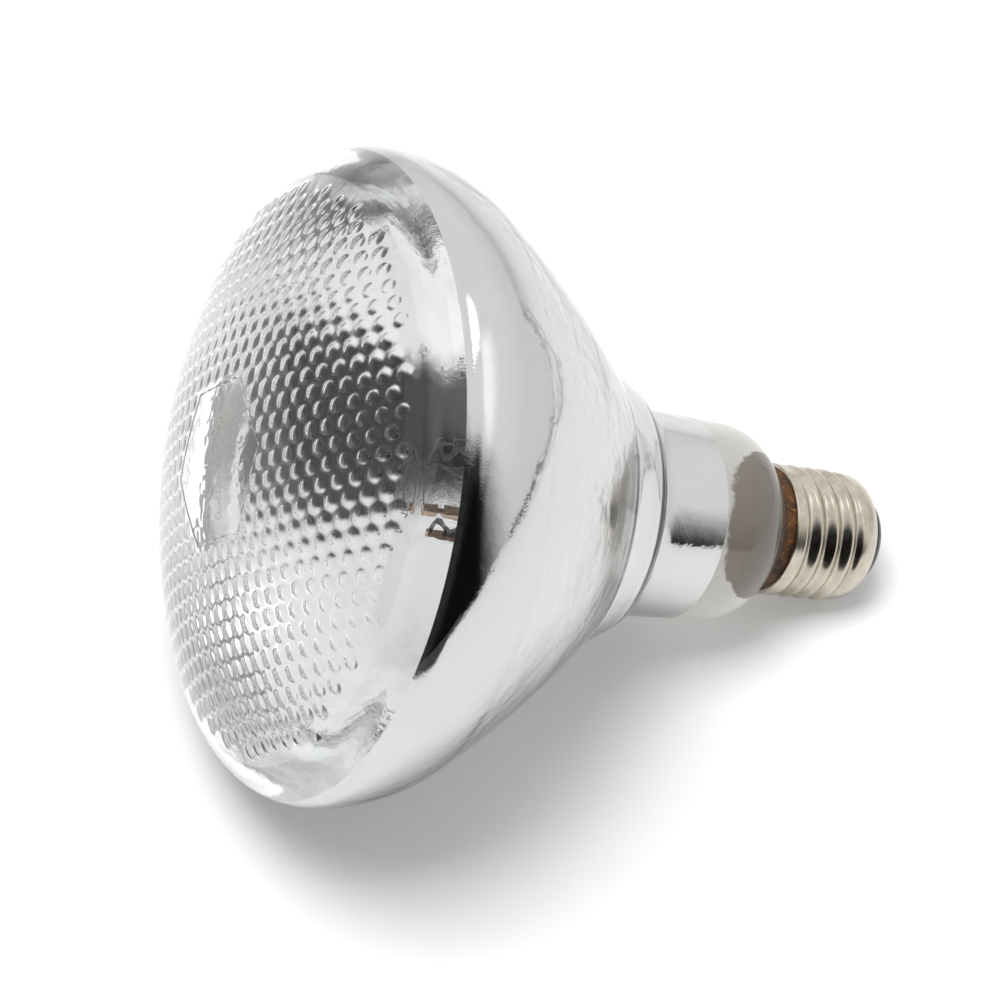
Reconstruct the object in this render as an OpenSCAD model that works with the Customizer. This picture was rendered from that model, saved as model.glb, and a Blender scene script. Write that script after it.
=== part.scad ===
// Infrared heat bulb: a reflector bulb of hard glass with a dimpled lens and a screw cap.
// The pieces are worked out along the bulb's own axis, with the nose of the lens at zero and
// the cap above it, and the whole bulb is then laid on its side, on its rim and its thread.

/* [Envelope] */
// Widest diameter of the bulb
rim_d = 123; // [116:0.5:130]
// Length from the nose of the lens to the centre contact
bulb_len = 144.5; // [138:0.5:160]
// Radius of the domed nose
nose_r = 111; // [95:1:150]
// Radius of the round edge between the dome and the widest place
edge_r = 12.3; // [10:0.1:15]
// Thickness of the pressed lens
lens_wall = 3.2; // [2.8:0.1:3.8]
// Thickness of the bowl and the neck
bowl_wall = 2; // [1.6:0.1:2.6]
// Distance from the joint between lens and bowl back to the widest place
seam_lead = 3.9; // [2.5:0.1:6.5]

/* [Dimples] */
// Distance from one dimple to the next
dimple_pitch = 4.8; // [4.8:0.1:8]
// Radius of the ball that presses a dimple
dimple_ball_r = 2.35; // [1.8:0.05:2.38]
// Depth of a dimple in the inner face
dimple_depth = 0.8; // [0.4:0.05:1]
// Radius of the dimpled field
field_r = 51; // [40:0.5:52]
// Width of the clear window over its corners
window_w = 33; // [24:0.5:40]
// Rise of the window's pad above the inner face
window_rise = 0.4; // [0.2:0.05:0.8]
// Turn of the window and of the dimples' rows
window_turn = -31; // [-60:1:60]

/* [Bowl] */
// Radius of the belly behind the widest place
belly_r = 30; // [24:0.5:36]
// How much the long flank curves between the belly and the ring
flank_turn = 13.1; // [8:0.1:18]
// Radius of the hollow in front of the ring
waist_r = 6; // [4:0.5:9]
// Slope of the ring's flat
ring_deg = 28; // [24:0.5:34]
// Length of the ring's flat
ring_len = 8.5; // [4:0.1:12]
// Radius of the ring's back edge
ring_r = 4; // [3:0.1:5]
// Slope where the ring's back edge ends
ring_end_deg = 75; // [68:1:80]
// Radius of the groove between ring and neck
groove_r = 2; // [1.5:0.1:3]

/* [Neck] */
// Diameter of the neck next to the ring
neck_d = 40.6; // [38:0.1:43]
// Length of the neck's straight side, from the groove to the shoulder
neck_len = 18.9; // [8:0.1:26]
// Slope of the neck's slight taper
neck_deg = 2.2; // [1:0.1:4]
// Radius of the shoulder
shoulder_r = 12; // [10:0.5:14]
// Slope where the shoulder ends
shoulder_deg = 46; // [40:1:52]
// Diameter of the neck's tail inside the cap
tail_d = 22; // [20.5:0.1:22.4]
// Length of the neck's tail
tail_len = 8.6; // [6:0.1:10]
// Radius of the bend from the shoulder into the tail
tail_bend_r = 1; // [0.8:0.1:1.4]

/* [Mirror] */
// Thickness of the aluminium film
mirror_t = 0.12; // [0.1:0.01:0.2]
// Bare glass between the lens joint and the film
mirror_margin = 0.6; // [0.2:0.1:1.5]
// Length of the neck between the film's end and the cap's lip
bare_neck = 19.35; // [16:0.05:26]

/* [Cap] */
// Length of the cap, lip to centre contact
cap_len = 24.85; // [24:0.05:27]
// Diameter over the thread's crests
thread_d = 26.2; // [26.05:0.05:26.45]
// Diameter in the thread's roots
thread_root_d = 24.3; // [24.1:0.05:24.5]
// Distance from one thread turn to the next
thread_pitch = 3.629; // [3.4:0.001:3.8]
// Thickness of the cap's brass sheet
shell_wall = 0.3; // [0.25:0.01:0.4]
// Plain band at the lip
lip_len = 1.6; // [1.2:0.1:2.4]
// Length of the threaded stretch, lip band to last turn
thread_len = 14.6; // [12:0.1:15.5]
// Length of the shell, lip to insulator
shell_len = 20.6; // [19.5:0.1:21]
// Diameter of the shell's narrow end
shell_end_d = 19.4; // [17:0.1:21]
// Gap between the end of the shoulder and the lip
lip_gap = 0.9; // [0.6:0.1:1.6]
// Diameter of the ring of cement that shows at the lip
cement_d = 25; // [24.4:0.1:25.6]
// Height of the insulator beyond the shell
insulator_h = 3.2; // [2.6:0.1:3.8]
// Diameter of the insulator's end
insulator_end_d = 12; // [11:0.1:14]
// Depth of the insulator inside the shell
insulator_seat = 2; // [1.5:0.1:3]
// Length of the cement inside the cap
cement_len = 6.5; // [5:0.1:8]
// How far the cement reaches out in front of the lip
cement_lead = 4; // [3:0.1:4.5]
// Diameter of the centre contact
contact_d = 9.4; // [8:0.1:10]
// Thickness of the contact's disc
disc_t = 0.5; // [0.4:0.05:0.7]
// Diameter of the contact's eyelet
eyelet_d = 3; // [2.4:0.1:4]
// Diameter of the drop of solder on the contact
solder_d = 6; // [4.5:0.1:7]

/* [Stem] */
// Diameter of the stem's tube
stem_d = 12; // [11.4:0.1:13]
// Thickness of the stem's glass
stem_wall = 1.2; // [1:0.1:1.5]
// Length of the stem, from the end of the neck's tail to the lens side of the pinch
stem_len = 38; // [34:0.5:42]
// Length of the flare at the stem's end
flare_len = 7; // [5:0.5:9]
// Length of the pinch
pinch_len = 10; // [8:0.5:14]
// Thickness of the pinch
pinch_t = 6; // [5.6:0.1:7]
// Width of the pinch
pinch_w = 13; // [12:0.1:15]
// Diameter of the exhaust tube
exhaust_d = 4.2; // [3.6:0.1:4.6]
// Thickness of the exhaust tube's wall
exhaust_wall = 0.8; // [0.6:0.05:1]
// Length of the exhaust tube behind the pinch
exhaust_len = 34; // [28:0.5:36]
// Diameter of the glass rod that carries the supports
arbor_d = 3.4; // [2.8:0.1:4]
// Diameter of the button on the rod
button_d = 6; // [5:0.1:8]
// Thickness of the button
button_t = 3; // [2.4:0.1:4]
// Distance from the pinch to the button's lens side
rod_len = 32; // [26:0.5:34]

/* [Filament] */
// Distance from the button's lens side to the filament's plane
filament_lead = 13; // [10:0.5:16]
// Radius of the ring of hooks that holds the filament
filament_ring_r = 8.5; // [7.5:0.1:10]
// Outer diameter of the coil
coil_d = 0.8; // [0.6:0.05:1]
// Number of chords that the coil makes round the ring
filament_chords = 5; // [4:1:5]
// Turn of the first lead about the axis
first_lead_turn = -46; // [-90:1:0]
// Diameter of the support wires
support_d = 0.5; // [0.4:0.05:0.7]
// Straight length of a support wire in front of the button
support_foot = 3; // [2:0.1:5]
// Straight length of a support wire behind its hook
support_end = 4; // [2:0.1:5]
// Clearance between the coil and a hook
hook_clear = 0.12; // [0.08:0.01:0.3]
// Diameter of the lead wires
lead_d = 1; // [0.8:0.05:1.2]
// Straight length of a lead in front of the pinch
lead_foot = 6; // [4:0.5:8]
// Length over which a lead swings out to the ring of hooks
lead_swing = 10; // [7:0.5:14]
// Length of the folded clamp at a lead's end
clamp_len = 5; // [4:0.1:6]
// Width of the folded clamp
clamp_w = 1.7; // [1.5:0.1:2]
// Thickness of the folded clamp
clamp_t = 1.5; // [1.3:0.05:1.8]
// Distance of the leads from the axis where they leave the pinch
lead_foot_r = 3.6; // [3.4:0.05:3.8]
// Diameter of the outer lead wires
outer_lead_d = 0.6; // [0.5:0.05:0.65]

/* [Hidden] */

// Colours of the materials
glass_tint = [0.86, 0.89, 0.9, 0.55];
silver_tint = [0.82, 0.83, 0.84];
nickel_tint = [0.76, 0.72, 0.66];
copper_tint = [0.72, 0.5, 0.4];
tungsten_tint = [0.45, 0.45, 0.46];
cement_tint = [0.45, 0.26, 0.12];
black_glass_tint = [0.05, 0.06, 0.08];
brass_tint = [0.78, 0.66, 0.42];
solder_tint = [0.62, 0.63, 0.65];

eps = 0.01;
arc_step = 3;
rim_r = rim_d/2;
neck_r = neck_d/2;
tail_r = tail_d/2;
thread_r = thread_d/2;
nose_deg = asin((rim_r - edge_r)/(nose_r - edge_r));
lip_depth = bulb_len - cap_len;

// An arc of the outline runs between two slopes of its normal: 0 at the nose, 90 at the rim.
// A negative radius is a hollow bend. Points are [out from the axis, depth from the nose].
function arc_shift(r, a, b) = r*[sin(b) - sin(a), cos(a) - cos(b)];
function run_shift(l, a) = l*[cos(a), sin(a)];

// Behind the lens the outline is worked out forwards from the cap: tail, shoulder, neck, ring.
rim_depth = nose_r*(1 - cos(nose_deg)) + edge_r*cos(nose_deg);
seam_depth = rim_depth - seam_lead;
tail_bend_shift = arc_shift(-tail_bend_r, 90 + shoulder_deg, 90);
tail_start_depth = lip_depth - lip_gap + tail_bend_shift.y;
tail_end = tail_start_depth + tail_len;
shoulder_shift = arc_shift(shoulder_r, 90 + neck_deg, 90 + shoulder_deg);
neck_shift = run_shift(neck_len, 90 + neck_deg);
shoulder_drop = neck_r - tail_r + neck_shift.x + shoulder_shift.x + tail_bend_shift.x;
shoulder_run = shoulder_drop/sin(shoulder_deg);
shoulder_reach = shoulder_shift.y + run_shift(shoulder_run, 90 + shoulder_deg).y + tail_bend_shift.y;
neck_start = [neck_r, tail_start_depth - shoulder_reach - neck_shift.y];
waist_end = neck_start - arc_shift(-groove_r, 90 + ring_end_deg, 90 + neck_deg)
            - arc_shift(ring_r, 90 + ring_deg, 90 + ring_end_deg) - run_shift(ring_len, 90 + ring_deg);
// The flank is the arc that joins the belly to the ring. The slope where the belly ends is found
// in a few steps, each from the straight line between the two ends that the last slope gives.
function belly_end(slope) = [rim_r, rim_depth] + arc_shift(belly_r, 90, 90 + slope);
function flank_end(slope) = waist_end - arc_shift(-waist_r, 90 + slope + flank_turn, 90 + ring_deg);
function flank_chord(slope) = flank_end(slope) - belly_end(slope);
function chord_deg(chord) = atan2(-chord.x, chord.y);
function solved_slope(slope, steps) =
    steps == 0 ? slope : solved_slope(chord_deg(flank_chord(slope)) - flank_turn/2, steps - 1);
slope_guess = 33;
belly_deg = solved_slope(slope_guess, 12);
flank_deg = belly_deg + flank_turn;
flank_r = norm(flank_chord(belly_deg))/(2*sin(flank_turn/2));

// Each stretch: radius, first slope, last slope, straight run after it
OUTLINE = [[nose_r, 0, nose_deg, 0],
           [edge_r, nose_deg, 90, 0],
           [belly_r, 90, 90 + belly_deg, 0],
           [flank_r, 90 + belly_deg, 90 + flank_deg, 0],
           [-waist_r, 90 + flank_deg, 90 + ring_deg, ring_len],
           [ring_r, 90 + ring_deg, 90 + ring_end_deg, 0],
           [-groove_r, 90 + ring_end_deg, 90 + neck_deg, neck_len],
           [shoulder_r, 90 + neck_deg, 90 + shoulder_deg, shoulder_run],
           [-tail_bend_r, 90 + shoulder_deg, 90, tail_len]];

function stretch_shift(s) = arc_shift(s[0], s[1], s[2]) + run_shift(s[3], s[2]);
function stretch_start(i) = i == 0 ? [0, 0] : stretch_start(i - 1) + stretch_shift(OUTLINE[i - 1]);
function steps_of(s) = max(2, ceil(abs(s[2] - s[1])/arc_step));
// Points of one stretch, moved inwards from the outer face by an inset
function stretch_points(i, inset) =
    let (s = OUTLINE[i], p = stretch_start(i), n = steps_of(s))
    concat([for (k = [0:n])
            let (a = s[1] + (s[2] - s[1])*k/n)
            p + arc_shift(s[0], s[1], a) + inset*[-sin(a), cos(a)]],
           s[3] > 0 ? [p + stretch_shift(s) + inset*[-sin(s[2]), cos(s[2])]] : []);
function outline_points(first, inset) =
    [for (i = [first:len(OUTLINE) - 1]) each stretch_points(i, inset)];

// The bulb lies on its belly and on the last full turn of its thread.
last_crest_depth = lip_depth + lip_len + thread_len - thread_pitch/2;
belly_centre = [rim_r - belly_r, rim_depth];
rest_gap = [last_crest_depth - belly_centre.y, belly_centre.x - thread_r];
lie_tilt = atan(rest_gap.y/rest_gap.x) + asin(belly_r/norm(rest_gap));
lie_height = belly_centre.y*sin(lie_tilt) + belly_centre.x*cos(lie_tilt) + belly_r;
// Reach of the lying bulb along the floor, at its nose side and at its contact
nose_reach = nose_r*cos(lie_tilt) - nose_r;
shell_end_depth = lip_depth + shell_len;
insulator_depth = shell_end_depth + insulator_h;
insulator_edge = [shell_end_d/2 - shell_wall - insulator_end_d/2, insulator_h];
contact_reach = shell_end_depth*cos(lie_tilt) + insulator_end_d/2*sin(lie_tilt)
                + norm([insulator_edge.x*sin(lie_tilt), insulator_edge.y*cos(lie_tilt)]);
lie_middle = (nose_reach + contact_reach)/2;

module lying() {
    translate([-lie_middle, 0, lie_height]) rotate([0, 90 + lie_tilt, 0]) children();
}

// Round body turned from outline points
module turned(points) {
    rotate_extrude($fn = 120) polygon(points);
}

function unit(v) = v/norm(v);
function link_dir(points, i) = unit(points[i + 1] - points[i]);
// Bend of a wire at a point, and what the bend takes off the straight wire on each side
function bend_deg(points, i) =
    i == 0 || i == len(points) - 1 ? 0 : acos(min(1, link_dir(points, i - 1)*link_dir(points, i)));
function bend_cut(points, i, bend_r) = bend_r*tan(bend_deg(points, i)/2);

// A round wire through a list of points, with round bends that are a hair thicker than the
// straight stretches and take in their ends
module wire(points, d, bend_r) {
    last = len(points) - 1;
    overlap = 5*eps;
    for (i = [0:last - 1]) {
        along = link_dir(points, i);
        start = points[i] + (bend_cut(points, i, bend_r) - (i > 0 ? overlap : 0))*along;
        end = points[i + 1] - (bend_cut(points, i + 1, bend_r) - (i < last - 1 ? overlap : 0))*along;
        translate(start) rotate([0, acos(along.z), atan2(along.y, along.x)])
            cylinder(h = norm(end - start), d = d, $fn = 24);
    }
    for (i = [1:1:last - 1]) {
        along = link_dir(points, i - 1);
        onward = link_dir(points, i);
        side = unit(onward - (onward*along)*along);
        turn_axis = cross(along, side);
        centre = points[i] - bend_cut(points, i, bend_r)*along + bend_r*side;
        multmatrix([[-side.x, along.x, turn_axis.x, centre.x],
                    [-side.y, along.y, turn_axis.y, centre.y],
                    [-side.z, along.z, turn_axis.z, centre.z],
                    [0, 0, 0, 1]])
            rotate_extrude(angle = bend_deg(points, i), $fn = 48)
                translate([bend_r, 0]) circle(d = d + 2*eps, $fn = 24);
    }
}

function polar(r, turn, depth) = [r*cos(turn), r*sin(turn), depth];

// Half section of the lens's nose and edge, moved inwards by an inset
module nose_section(inset) {
    reach = 2*nose_r;
    intersection() {
        translate([0, nose_r]) circle(nose_r - inset, $fn = 720);
        polygon([[0, nose_r], [0, -nose_r], [reach*sin(nose_deg), nose_r - reach*cos(nose_deg)]]);
    }
    translate([rim_r - edge_r, rim_depth]) circle(edge_r - inset, $fn = 180);
}

module lens_wall_section() {
    intersection() {
        difference() {
            nose_section(0);
            nose_section(lens_wall);
        }
        square([rim_d, seam_depth]);
    }
}

window_r = window_w/2;
inner_nose_r = nose_r - lens_wall;
dimple_centre_r = inner_nose_r + dimple_depth - dimple_ball_r;
// Half the number of rows that the field can hold
dimple_rows = ceil(field_r/(dimple_pitch*cos(30)));
dimple_half_w = dimple_pitch/2;
// How far a place lies outside the middle of a six-sided window with this turn
function hex_reach(p) = max([for (k = [0:5]) p.x*cos(30 + 60*k) + p.y*sin(30 + 60*k)]);
DIMPLES = [for (row = [-dimple_rows:dimple_rows], col = [-dimple_rows:dimple_rows])
           let (p = dimple_pitch*[col + row/2, row*cos(30)])
           if (norm(p) < field_r - dimple_half_w && hex_reach(p) > window_r*cos(30) + dimple_half_w) p];

module front_lens() {
    color(glass_tint) lying() {
        difference() {
            rotate_extrude($fn = 120) lens_wall_section();
            for (p = DIMPLES) {
                out = asin(norm(p)/inner_nose_r);
                translate([0, 0, nose_r]) rotate([0, 0, atan2(p.y, p.x) + window_turn])
                rotate([0, -out, 0]) translate([0, 0, -dimple_centre_r]) sphere(dimple_ball_r, $fn = 24);
            }
        }
        window_pad();
    }
}

// Six-sided pad of the clear window, on the inner face
module window_pad() {
    intersection() {
        rotate([0, 0, window_turn])
            linear_extrude(4*lens_wall) polygon([for (k = [0:5]) window_r*[cos(60*k), sin(60*k)]]);
        translate([0, 0, nose_r]) difference() {
            sphere(inner_nose_r + eps, $fn = 360);
            sphere(inner_nose_r - window_rise, $fn = 360);
        }
    }
}

function backwards(points) = [for (i = [len(points) - 1:-1:0]) points[i]];

module reflector_bowl() {
    wall_points = concat(outline_points(1, 0), backwards(outline_points(1, bowl_wall)));
    color(glass_tint) lying() difference() {
        turned(wall_points);
        translate([0, 0, -eps]) cylinder(h = seam_depth + eps, r = rim_d, $fn = 120);
    }
}

module mirror_coating() {
    film_points = concat(outline_points(1, bowl_wall), backwards(outline_points(1, bowl_wall + mirror_t)));
    film_start = seam_depth + mirror_margin;
    film_end = lip_depth - bare_neck;
    color(silver_tint) lying() intersection() {
        turned(film_points);
        translate([0, 0, film_start]) cylinder(h = film_end - film_start, r = rim_d, $fn = 120);
    }
}

// Stem: a flared tube sealed into the end of the tail, pressed flat round the wires
tail_inner_r = tail_r - bowl_wall;
pinch_front = tail_end - stem_len;
pinch_back = pinch_front + pinch_len;
button_front = pinch_front - rod_len;
filament_depth = button_front - filament_lead;
stem_r = stem_d/2;
wire_clear = 0.02;

module stem_flare() {
    flare_start = tail_end - flare_len;
    color(glass_tint) lying() difference() {
        union() {
            turned([[stem_r, pinch_back], [stem_r, flare_start], [tail_inner_r, tail_end - stem_wall],
                    [tail_inner_r, tail_end], [tail_inner_r - stem_wall, tail_end],
                    [stem_r - stem_wall, flare_start + stem_wall], [stem_r - stem_wall, pinch_back]]);
            rotate([0, 0, pinch_turn]) translate([0, 0, pinch_back]) pinch_block();
        }
        pinch_holes();
    }
}

// Flat block of the pinch, with round sides and a plate that closes the tube
module pinch_block() {
    half = (pinch_w - pinch_t)/2;
    translate([0, 0, -pinch_len]) linear_extrude(pinch_len + eps) {
        for (side = [-1, 1]) translate([0, side*half]) circle(d = pinch_t, $fn = 48);
        square([pinch_t, 2*half], center = true);
    }
    cylinder(h = stem_wall, d = stem_d - 2*eps, $fn = 96);
}

module pinch_holes() {
    translate([0, 0, pinch_back - pinch_len/2])
        cylinder(h = pinch_len, d = exhaust_d + 2*wire_clear, $fn = 48);
    translate([0, 0, pinch_front - eps])
        cylinder(h = pinch_len/2 - 1, d = arbor_d + 2*wire_clear, $fn = 48);
    for (turn = FOOT_TURNS) {
        translate(polar(lead_foot_r, turn, pinch_front - eps))
            cylinder(h = weld_depth - pinch_front + eps, d = lead_d + 2*wire_clear, $fn = 24);
        translate(polar(lead_foot_r, turn, pinch_front - eps))
            cylinder(h = pinch_len + stem_wall + 3*eps, d = outer_lead_d + 2*wire_clear, $fn = 24);
    }
}

module exhaust_tube() {
    start = pinch_back - pinch_len/2;
    exhaust_r = exhaust_d/2;
    bore_r = exhaust_r - exhaust_wall;
    color(glass_tint) lying() difference() {
        union() {
            translate([0, 0, start + wire_clear])
                cylinder(h = exhaust_len - exhaust_r, d = exhaust_d, $fn = 48);
            translate([0, 0, start + wire_clear + exhaust_len - exhaust_r])
                sphere(exhaust_r, $fn = 48);
        }
        translate([0, 0, start - eps]) cylinder(h = exhaust_len - 2*exhaust_r, r = bore_r, $fn = 48);
    }
}

module arbor_rod() {
    foot = pinch_front + pinch_len/2 - 1 - wire_clear;
    button_middle = button_front + button_t/2;
    color(glass_tint) lying() difference() {
        union() {
            translate([0, 0, button_middle]) cylinder(h = foot - button_middle, d = arbor_d, $fn = 48);
            translate([0, 0, button_front]) cylinder(h = button_t, d = button_d, $fn = 48);
        }
        for (k = [1:filament_chords - 1]) translate(polar(support_foot_r, hook_turn(k), button_front - eps))
            cylinder(h = button_t*0.7 + eps, d = support_d + 2*wire_clear, $fn = 24);
    }
}

// The coil hangs from hooks on a ring, between the clamps of the two leads.
chord_turn = 60;
function hook_turn(k) = first_lead_turn - chord_turn*k;
LEAD_TURNS = [first_lead_turn, hook_turn(filament_chords)];
// The leads' feet stand on opposite sides of the pinch, square to the gap between the leads.
pinch_turn = first_lead_turn + chord_turn/2;
FOOT_TURNS = [pinch_turn - 90, pinch_turn + 90];
// Where the thick inner wire meets the thin outer one, inside the pinch
weld_depth = pinch_back - 2;
support_foot_r = button_d/2 - 1.2;
hook_r = coil_d/2 + hook_clear + support_d/2;

module filament() {
    color(tungsten_tint) lying()
        wire([for (k = [0:filament_chords]) polar(filament_ring_r, hook_turn(k), filament_depth)],
             coil_d, coil_d*0.6);
}

// A support wire: straight out of the button, outwards, and a ring that holds the coil at its bend
module filament_supports() {
    color(tungsten_tint) lying() for (k = [1:filament_chords - 1]) {
        turn = hook_turn(k);
        rise = filament_depth + hook_r;
        wire([polar(support_foot_r, turn, button_front + button_t*0.7 - wire_clear),
              polar(support_foot_r, turn, button_front - support_foot),
              polar(filament_ring_r, turn, rise + support_end),
              polar(filament_ring_r, turn, rise)], support_d, 1);
        translate(polar(filament_ring_r, turn, filament_depth)) rotate([0, 0, turn])
        rotate([90, 0, 0]) rotate_extrude($fn = 36) translate([hook_r, 0]) circle(d = support_d, $fn = 16);
    }
}

// A lead: out of the pinch, outwards to the ring, forward, and folded over the coil's end
module inner_leads() {
    color(copper_tint) lying() for (side = [0, 1]) {
        turn = LEAD_TURNS[side];
        foot = FOOT_TURNS[side];
        coil_end = polar(filament_ring_r, turn, filament_depth);
        next_hook = polar(filament_ring_r, hook_turn(side == 0 ? 1 : filament_chords - 1), filament_depth);
        difference() {
            union() {
                wire([polar(lead_foot_r, foot, weld_depth - wire_clear),
                      polar(lead_foot_r, foot, pinch_front - lead_foot),
                      polar(filament_ring_r, turn, pinch_front - lead_foot - lead_swing),
                      polar(filament_ring_r, turn, filament_depth + clamp_len/2)], lead_d, 2);
                translate(coil_end) rotate([0, 0, turn]) clamp_fold();
            }
            wire([coil_end - wire_clear*unit(next_hook - coil_end), next_hook], coil_d + 2*wire_clear, 1);
        }
    }
}

// The lead's flattened end, bent round the coil
module clamp_fold() {
    rotate([90, 0, 0]) cylinder(h = clamp_w, d = clamp_t, center = true, $fn = 36);
    translate([-clamp_t/2, -clamp_w/2, 0]) cube([clamp_t, clamp_w, clamp_len]);
}

// The thin wires behind the pinch: one bent back to the cap's lip, one on to the centre contact
side_wire_r = tail_r + (thread_root_d/2 - shell_wall - tail_r)/2;
SHELL_LEAD_ROUTE = [polar(lead_foot_r, FOOT_TURNS[0], weld_depth),
                    polar(lead_foot_r, FOOT_TURNS[0], tail_end + 2),
                    polar(side_wire_r, FOOT_TURNS[0], tail_end + 2),
                    polar(side_wire_r, FOOT_TURNS[0], lip_depth + 0.5)];

module shell_lead() {
    color(copper_tint) lying() wire(SHELL_LEAD_ROUTE, outer_lead_d, 0.8);
}

module contact_lead() {
    color(copper_tint) lying()
        wire([polar(lead_foot_r, FOOT_TURNS[1], weld_depth),
              polar(lead_foot_r, FOOT_TURNS[1], tail_end + 3),
              [0, 0, tail_end + 8], [0, 0, insulator_depth]], outer_lead_d, 1.5);
}

// Cement that holds the cap on the tail, with a channel for the side wire
seat_clear = 0.05;
shell_inner_r = thread_root_d/2 - shell_wall;

module cap_cement() {
    inside_r = shell_inner_r - seat_clear;
    glass_outline = concat(outline_points(6, 0), [[0, tail_end], [0, neck_start.y]]);
    color(cement_tint) lying() difference() {
        turned([[tail_inner_r, lip_depth - cement_lead], [cement_d/2, lip_depth - cement_lead],
                [cement_d/2, lip_depth - seat_clear], [inside_r, lip_depth - seat_clear],
                [inside_r, lip_depth + cement_len], [tail_inner_r, lip_depth + cement_len]]);
        turned(glass_outline);
        wire(SHELL_LEAD_ROUTE, outer_lead_d + 2*seat_clear, 0.8);
    }
}

// Cap shell: rows of points round the axis, out over the lip, the thread and the shoulder, and
// back along the inner face. The wave of the thread moves on by one pitch in a turn.
around = 48;
rows_per_turn = 10;
shoulder_rows = 6;
thread_rows = ceil(thread_len*rows_per_turn/thread_pitch);
thread_end = lip_len + thread_len;
shell_end_r = shell_end_d/2;
crest_at = last_crest_depth - lip_depth;
thread_mean_r = (thread_d + thread_root_d)/4;
thread_wave_r = (thread_d - thread_root_d)/4;
shoulder_start_r = thread_mean_r + 0.1;

function thread_fade(h) = min(1, 2*(h - lip_len)/thread_pitch, 2*(thread_end - h)/thread_pitch);
function thread_point_r(h, turn) =
    let (plain = h < crest_at ? thread_r : shoulder_start_r,
         wave = thread_mean_r + thread_wave_r*cos(360*(h - crest_at)/thread_pitch - turn))
    plain + (wave - plain)*thread_fade(h);

// Rows as [height from the lip, radius or 0 where the thread sets it]
OUTER_ROWS = concat([[0, thread_r - shell_wall/2], [shell_wall/2, thread_r]],
                    [for (k = [0:thread_rows]) [lip_len + thread_len*k/thread_rows, 0]],
                    [for (k = [1:shoulder_rows]) shoulder_row(k, shoulder_start_r, shell_end_r)]);
// A row of the round shoulder that runs from the wide radius down to the narrow one
function shoulder_row(k, wide, narrow) =
    let (a = k*90/shoulder_rows)
    [thread_end + (shell_len - thread_end)*sin(a), narrow + (wide - narrow)*cos(a)];
function inner_row(k) = shoulder_row(k, shell_inner_r, shell_end_r - shell_wall);
INNER_ROWS = concat([for (k = [shoulder_rows:-1:0]) inner_row(k)],
                    [[lip_len, shell_inner_r], [0, shell_inner_r]]);
SHELL_ROWS = concat(OUTER_ROWS, INNER_ROWS);

module cap_shell() {
    rows = len(SHELL_ROWS);
    points = [for (row = SHELL_ROWS, k = [0:around - 1])
              let (turn = 360*k/around, r = row.y > 0 ? row.y : thread_point_r(row.x, turn))
              polar(r, turn, lip_depth + row.x)];
    function at(i, k) = (i % rows)*around + k % around;
    faces = [for (i = [0:rows - 1], k = [0:around - 1], half = [0, 1])
             half == 0 ? [at(i, k), at(i + 1, k), at(i + 1, k + 1)]
                       : [at(i, k), at(i + 1, k + 1), at(i, k + 1)]];
    color(nickel_tint) lying() polyhedron(points, faces);
}

// Insulator: black glass that fills the shell's end, with a hole for the contact's eyelet
module cap_insulator() {
    seat_deg = asin((shell_len - insulator_seat - thread_end)/(shell_len - thread_end));
    seat_start = seat_deg*shoulder_rows/90;
    seat_steps = 4;
    end_r = insulator_end_d/2;
    crown_steps = 8;
    seat = [for (k = [0:seat_steps])
            let (row = inner_row(seat_start + (shoulder_rows - seat_start)*k/seat_steps))
            [row.y - seat_clear, lip_depth + row.x]];
    crown_r = shell_end_r - shell_wall - seat_clear;
    crown = [for (k = [1:crown_steps]) let (a = 90*k/crown_steps)
             [end_r + (crown_r - end_r)*cos(a), shell_end_depth + insulator_h*sin(a)]];
    hole_r = eyelet_d/2 + seat_clear;
    color(black_glass_tint) lying()
        turned(concat([[hole_r, shell_end_depth - insulator_seat]], seat, crown,
                      [[hole_r, insulator_depth]]));
}

module centre_contact() {
    eyelet_r = eyelet_d/2;
    bore_r = outer_lead_d/2 + seat_clear;
    contact_r = contact_d/2;
    tube_start = shell_end_depth - insulator_seat;
    color(brass_tint) lying()
        turned([[bore_r, tube_start], [eyelet_r, tube_start], [eyelet_r, insulator_depth],
                [contact_r - disc_t/2, insulator_depth], [contact_r, insulator_depth + disc_t/2],
                [contact_r - disc_t/2, insulator_depth + disc_t], [bore_r, insulator_depth + disc_t]]);
}

module contact_solder() {
    foot = insulator_depth + disc_t;
    solder_r = solder_d/2;
    brow = foot + (bulb_len - foot)*0.7;
    color(solder_tint) lying()
        turned([[0, foot], [solder_r, foot], [solder_r*0.9, brow], [solder_r*0.6, bulb_len],
                [0, bulb_len]]);
}

front_lens();
reflector_bowl();
mirror_coating();
stem_flare();
exhaust_tube();
arbor_rod();
filament_supports();
filament();
inner_leads();
shell_lead();
contact_lead();
cap_cement();
cap_shell();
cap_insulator();
centre_contact();
contact_solder();
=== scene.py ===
"""Infrared heat bulb: looks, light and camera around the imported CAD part."""
import math

import bmesh
import bpy
from mathutils import Matrix, Vector


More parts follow.
